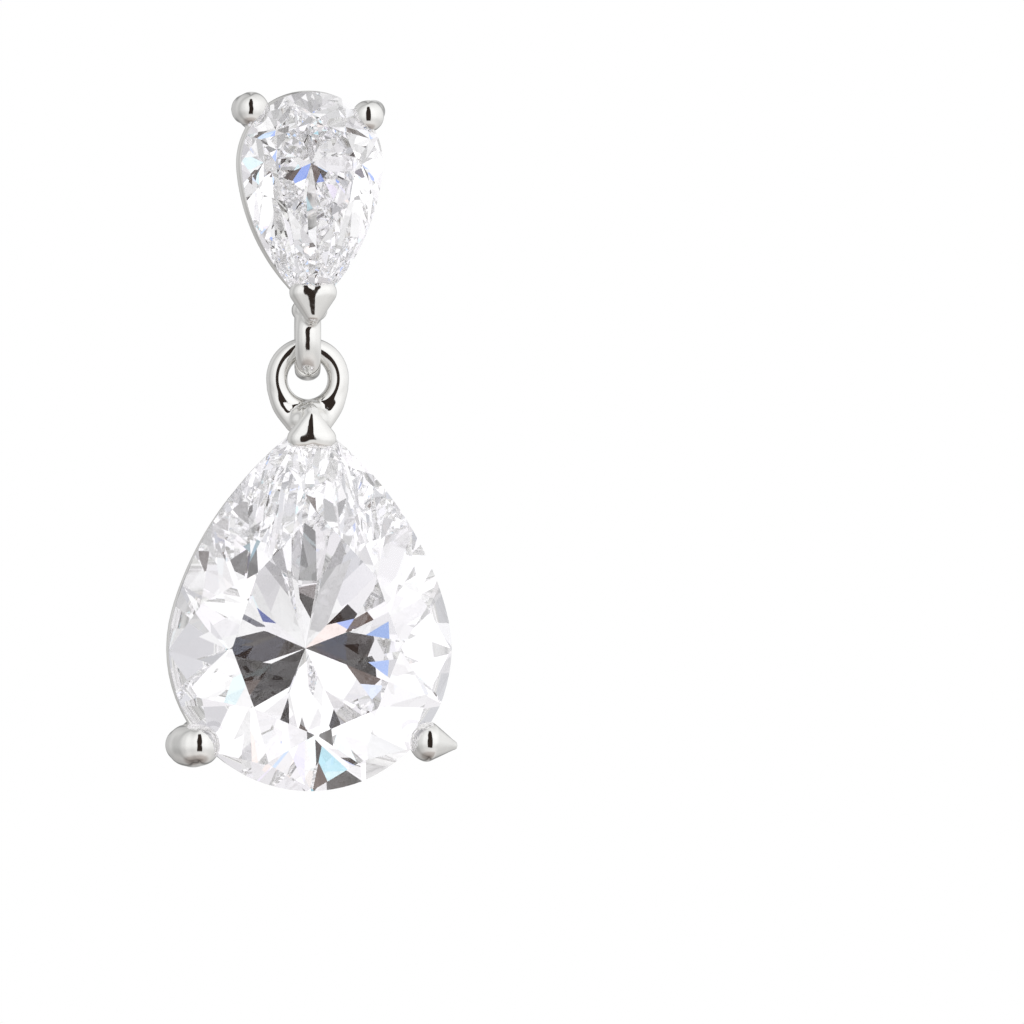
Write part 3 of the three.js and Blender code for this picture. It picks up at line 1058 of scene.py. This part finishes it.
class EARRING_OT_set_stage(bpy.types.Operator):
    """Sets the floor, the white studio tent and the camera"""

    bl_idname = "earring.set_stage"
    bl_label = "Set Stage"

    def execute(self, context):
        stage = context.scene.earring.stage
        self.floor(stage)
        self.tent(context.scene, stage)
        self.camera(context.scene, stage)
        return {"FINISHED"}

    def floor(self, stage):
        mesh = bpy.data.meshes.new("studio_floor")
        bm = bmesh.new()
        bmesh.ops.create_circle(bm, cap_ends=True, segments=96, radius=FLOOR["radius"])
        bm.to_mesh(mesh)
        bm.free()
        mesh.transform(Matrix.Translation((0, 0, -stage.floor_drop)))
        floor = linked_object("studio_floor", mesh)
        material, tree, shader = new_material("pale_floor")
        shader.inputs["Base Color"].default_value = (*[FLOOR["colour"]] * 3, 1)
        shader.inputs["Roughness"].default_value = FLOOR["roughness"]
        mesh.materials.append(material)
        floor.visible_glossy = False  # the metal and the crystals mirror only the tent
        floor.visible_transmission = False

    def tent(self, scene, stage):
        """White all round, greyer from the sides, behind and below, with a dark gap at the camera."""
        world = bpy.data.worlds.new("studio_tent")
        scene.world = world
        world.use_nodes = True
        tree = world.node_tree
        tree.nodes.clear()
        way = tree.nodes.new("ShaderNodeTexCoord").outputs["Generated"]
        turned = node(tree, "ShaderNodeVectorRotate", Vector=way)
        turned.rotation_type = "Z_AXIS"
        turned.inputs["Angle"].default_value = -stage.azimuth
        split = node(tree, "ShaderNodeSeparateXYZ", Vector=turned.outputs["Vector"])
        x, y, z = (split.outputs[axis] for axis in "XYZ")
        azimuth = math_node(tree, "ARCTAN2", x, math_node(tree, "MULTIPLY", y, -1.0))
        height = math_node(tree, "ARCSINE", z, 0.0)
        round_about = math_node(tree, "ADD", math_node(tree, "DIVIDE", azimuth, 2 * math.pi), 0.5)
        upward = math_node(tree, "ADD", math_node(tree, "DIVIDE", height, math.pi), 0.5)

        def between(value, low, high, blur):
            low, high, blur = math.radians(low), math.radians(high), math.radians(blur)
            past_low = smooth_step(tree, value, low - blur, low + blur)
            past_high = smooth_step(tree, value, high - blur, high + blur)
            return math_node(tree, "SUBTRACT", past_low, past_high)

        def by_height(stops):
            return ramp(tree, upward, [(0.5 + degrees / 180, level) for degrees, level in stops])

        def with_gap(tent, gap, colours):
            across = between(azimuth, -gap["left"], gap["right"], GAP_BLUR["sides"])
            upright = between(height, gap["low"], gap["high"], GAP_BLUR["ends"])
            return mixed(tree, math_node(tree, "MULTIPLY", across, upright), tent, by_height(colours))

        def lit(walls, heights):
            sides = ramp(tree, round_about, [(0.5 + degrees / 360, level) for degrees, level in walls])
            return mixed(tree, 1.0, sides, by_height(heights), "MULTIPLY")

        fire = ramp(tree, round_about, [(0.5 + degrees / 360, colour) for degrees, colour in FIRE])
        fire_seen = between(height, **FIRE_HEIGHTS)
        for_crystal = mixed(tree, fire_seen, lit(CRYSTAL_WALLS, CRYSTAL_HEIGHTS), fire, "MULTIPLY")
        for_crystal = with_gap(for_crystal, CRYSTAL_GAP, CRYSTAL_GAP_COLOURS)
        for_metal = with_gap(lit(METAL_WALLS, METAL_HEIGHTS), METAL_GAP, METAL_GAP_COLOURS)
        path = tree.nodes.new("ShaderNodeLightPath")
        tent = mixed(tree, path.outputs["Is Transmission Ray"], for_metal, for_crystal)
        tent = mixed(tree, path.outputs["Is Diffuse Ray"], tent, (*[FLOOR["light"]] * 3, 1))
        seen = mixed(tree, path.outputs["Is Camera Ray"], tent, (1, 1, 1, 1))
        background = node(tree, "ShaderNodeBackground", Color=seen)
        output = tree.nodes.new("ShaderNodeOutputWorld")
        tree.links.new(background.outputs["Background"], output.inputs["Surface"])

    def camera(self, scene, stage):
        looking = Vector((-math.sin(stage.azimuth), math.cos(stage.azimuth), 0))
        rightwards = Vector((math.cos(stage.azimuth), math.sin(stage.azimuth), 0))
        low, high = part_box("drop_stone")
        target = Vector((0, low.y, -stage.fall)) + rightwards * stage.aside
        lens = bpy.data.cameras.new("camera")
        lens.sensor_width = SENSOR_WIDTH
        lens.lens = lens.sensor_width * stage.distance / stage.view_width
        lens.clip_start = 0.01
        camera = bpy.data.objects.new("camera", lens)
        scene.collection.objects.link(camera)
        camera.location = target - looking * stage.distance
        camera.rotation_euler = looking.to_track_quat("-Z", "Y").to_euler()
        scene.camera = camera
        scene.view_settings.view_transform = "Standard"
        scene.cycles.max_bounces = LIGHT_BOUNCES
        scene.cycles.transmission_bounces = LIGHT_BOUNCES
        scene.cycles.glossy_bounces = LIGHT_BOUNCES


class EARRING_PT_sidebar(bpy.types.Panel):
    """The earring's operators, in building order"""

    bl_idname = "EARRING_PT_sidebar"
    bl_label = "Teardrop Earring"
    bl_space_type = "VIEW_3D"
    bl_region_type = "UI"
    bl_category = "Earring"

    def draw(self, context):
        build = context.scene.earring
        for label, group in (
            ("Stud stone", build.stud_cut),
            ("Drop stone", build.drop_cut),
            ("Finish", build.finish),
            ("Stage", build.stage),
        ):
            box = self.layout.box()
            box.label(text=label)
            for name in group.bl_rna.properties.keys():
                if name not in ("rna_type", "name"):
                    box.prop(group, name)
        for operator in OPERATORS:
            self.layout.operator(operator.bl_idname)


OPERATORS = (
    EARRING_OT_cut_stones,
    EARRING_OT_cast_stud_setting,
    EARRING_OT_draw_ear_post,
    EARRING_OT_cast_drop_setting,
    EARRING_OT_set_stage,
)
CLASSES = (
    EARRING_PG_cut,
    EARRING_PG_finish,
    EARRING_PG_stage,
    EARRING_PG_build,
    *OPERATORS,
    EARRING_PT_sidebar,
)


def register():
    for cls in CLASSES:
        bpy.utils.register_class(cls)
    bpy.types.Scene.earring = PointerProperty(type=EARRING_PG_build)


def unregister():
    del bpy.types.Scene.earring
    for cls in reversed(CLASSES):
        bpy.utils.unregister_class(cls)


def main():
    register()
    stud_cut = bpy.context.scene.earring.stud_cut
    stud_cut.shoulder = math.radians(5)
    stud_cut.girdle_share = 0.0462
    stud_cut.crown_share = 0.3468
    stud_cut.table_share = 0.58
    stud_cut.lower_reach = 0.78
    stud_cut.seed = 11
    bpy.ops.earring.cut_stones()
    bpy.ops.earring.cast_stud_setting()
    bpy.ops.earring.draw_ear_post()
    bpy.ops.earring.cast_drop_setting()
    bpy.ops.earring.set_stage()


if __name__ == "__main__":
    main()
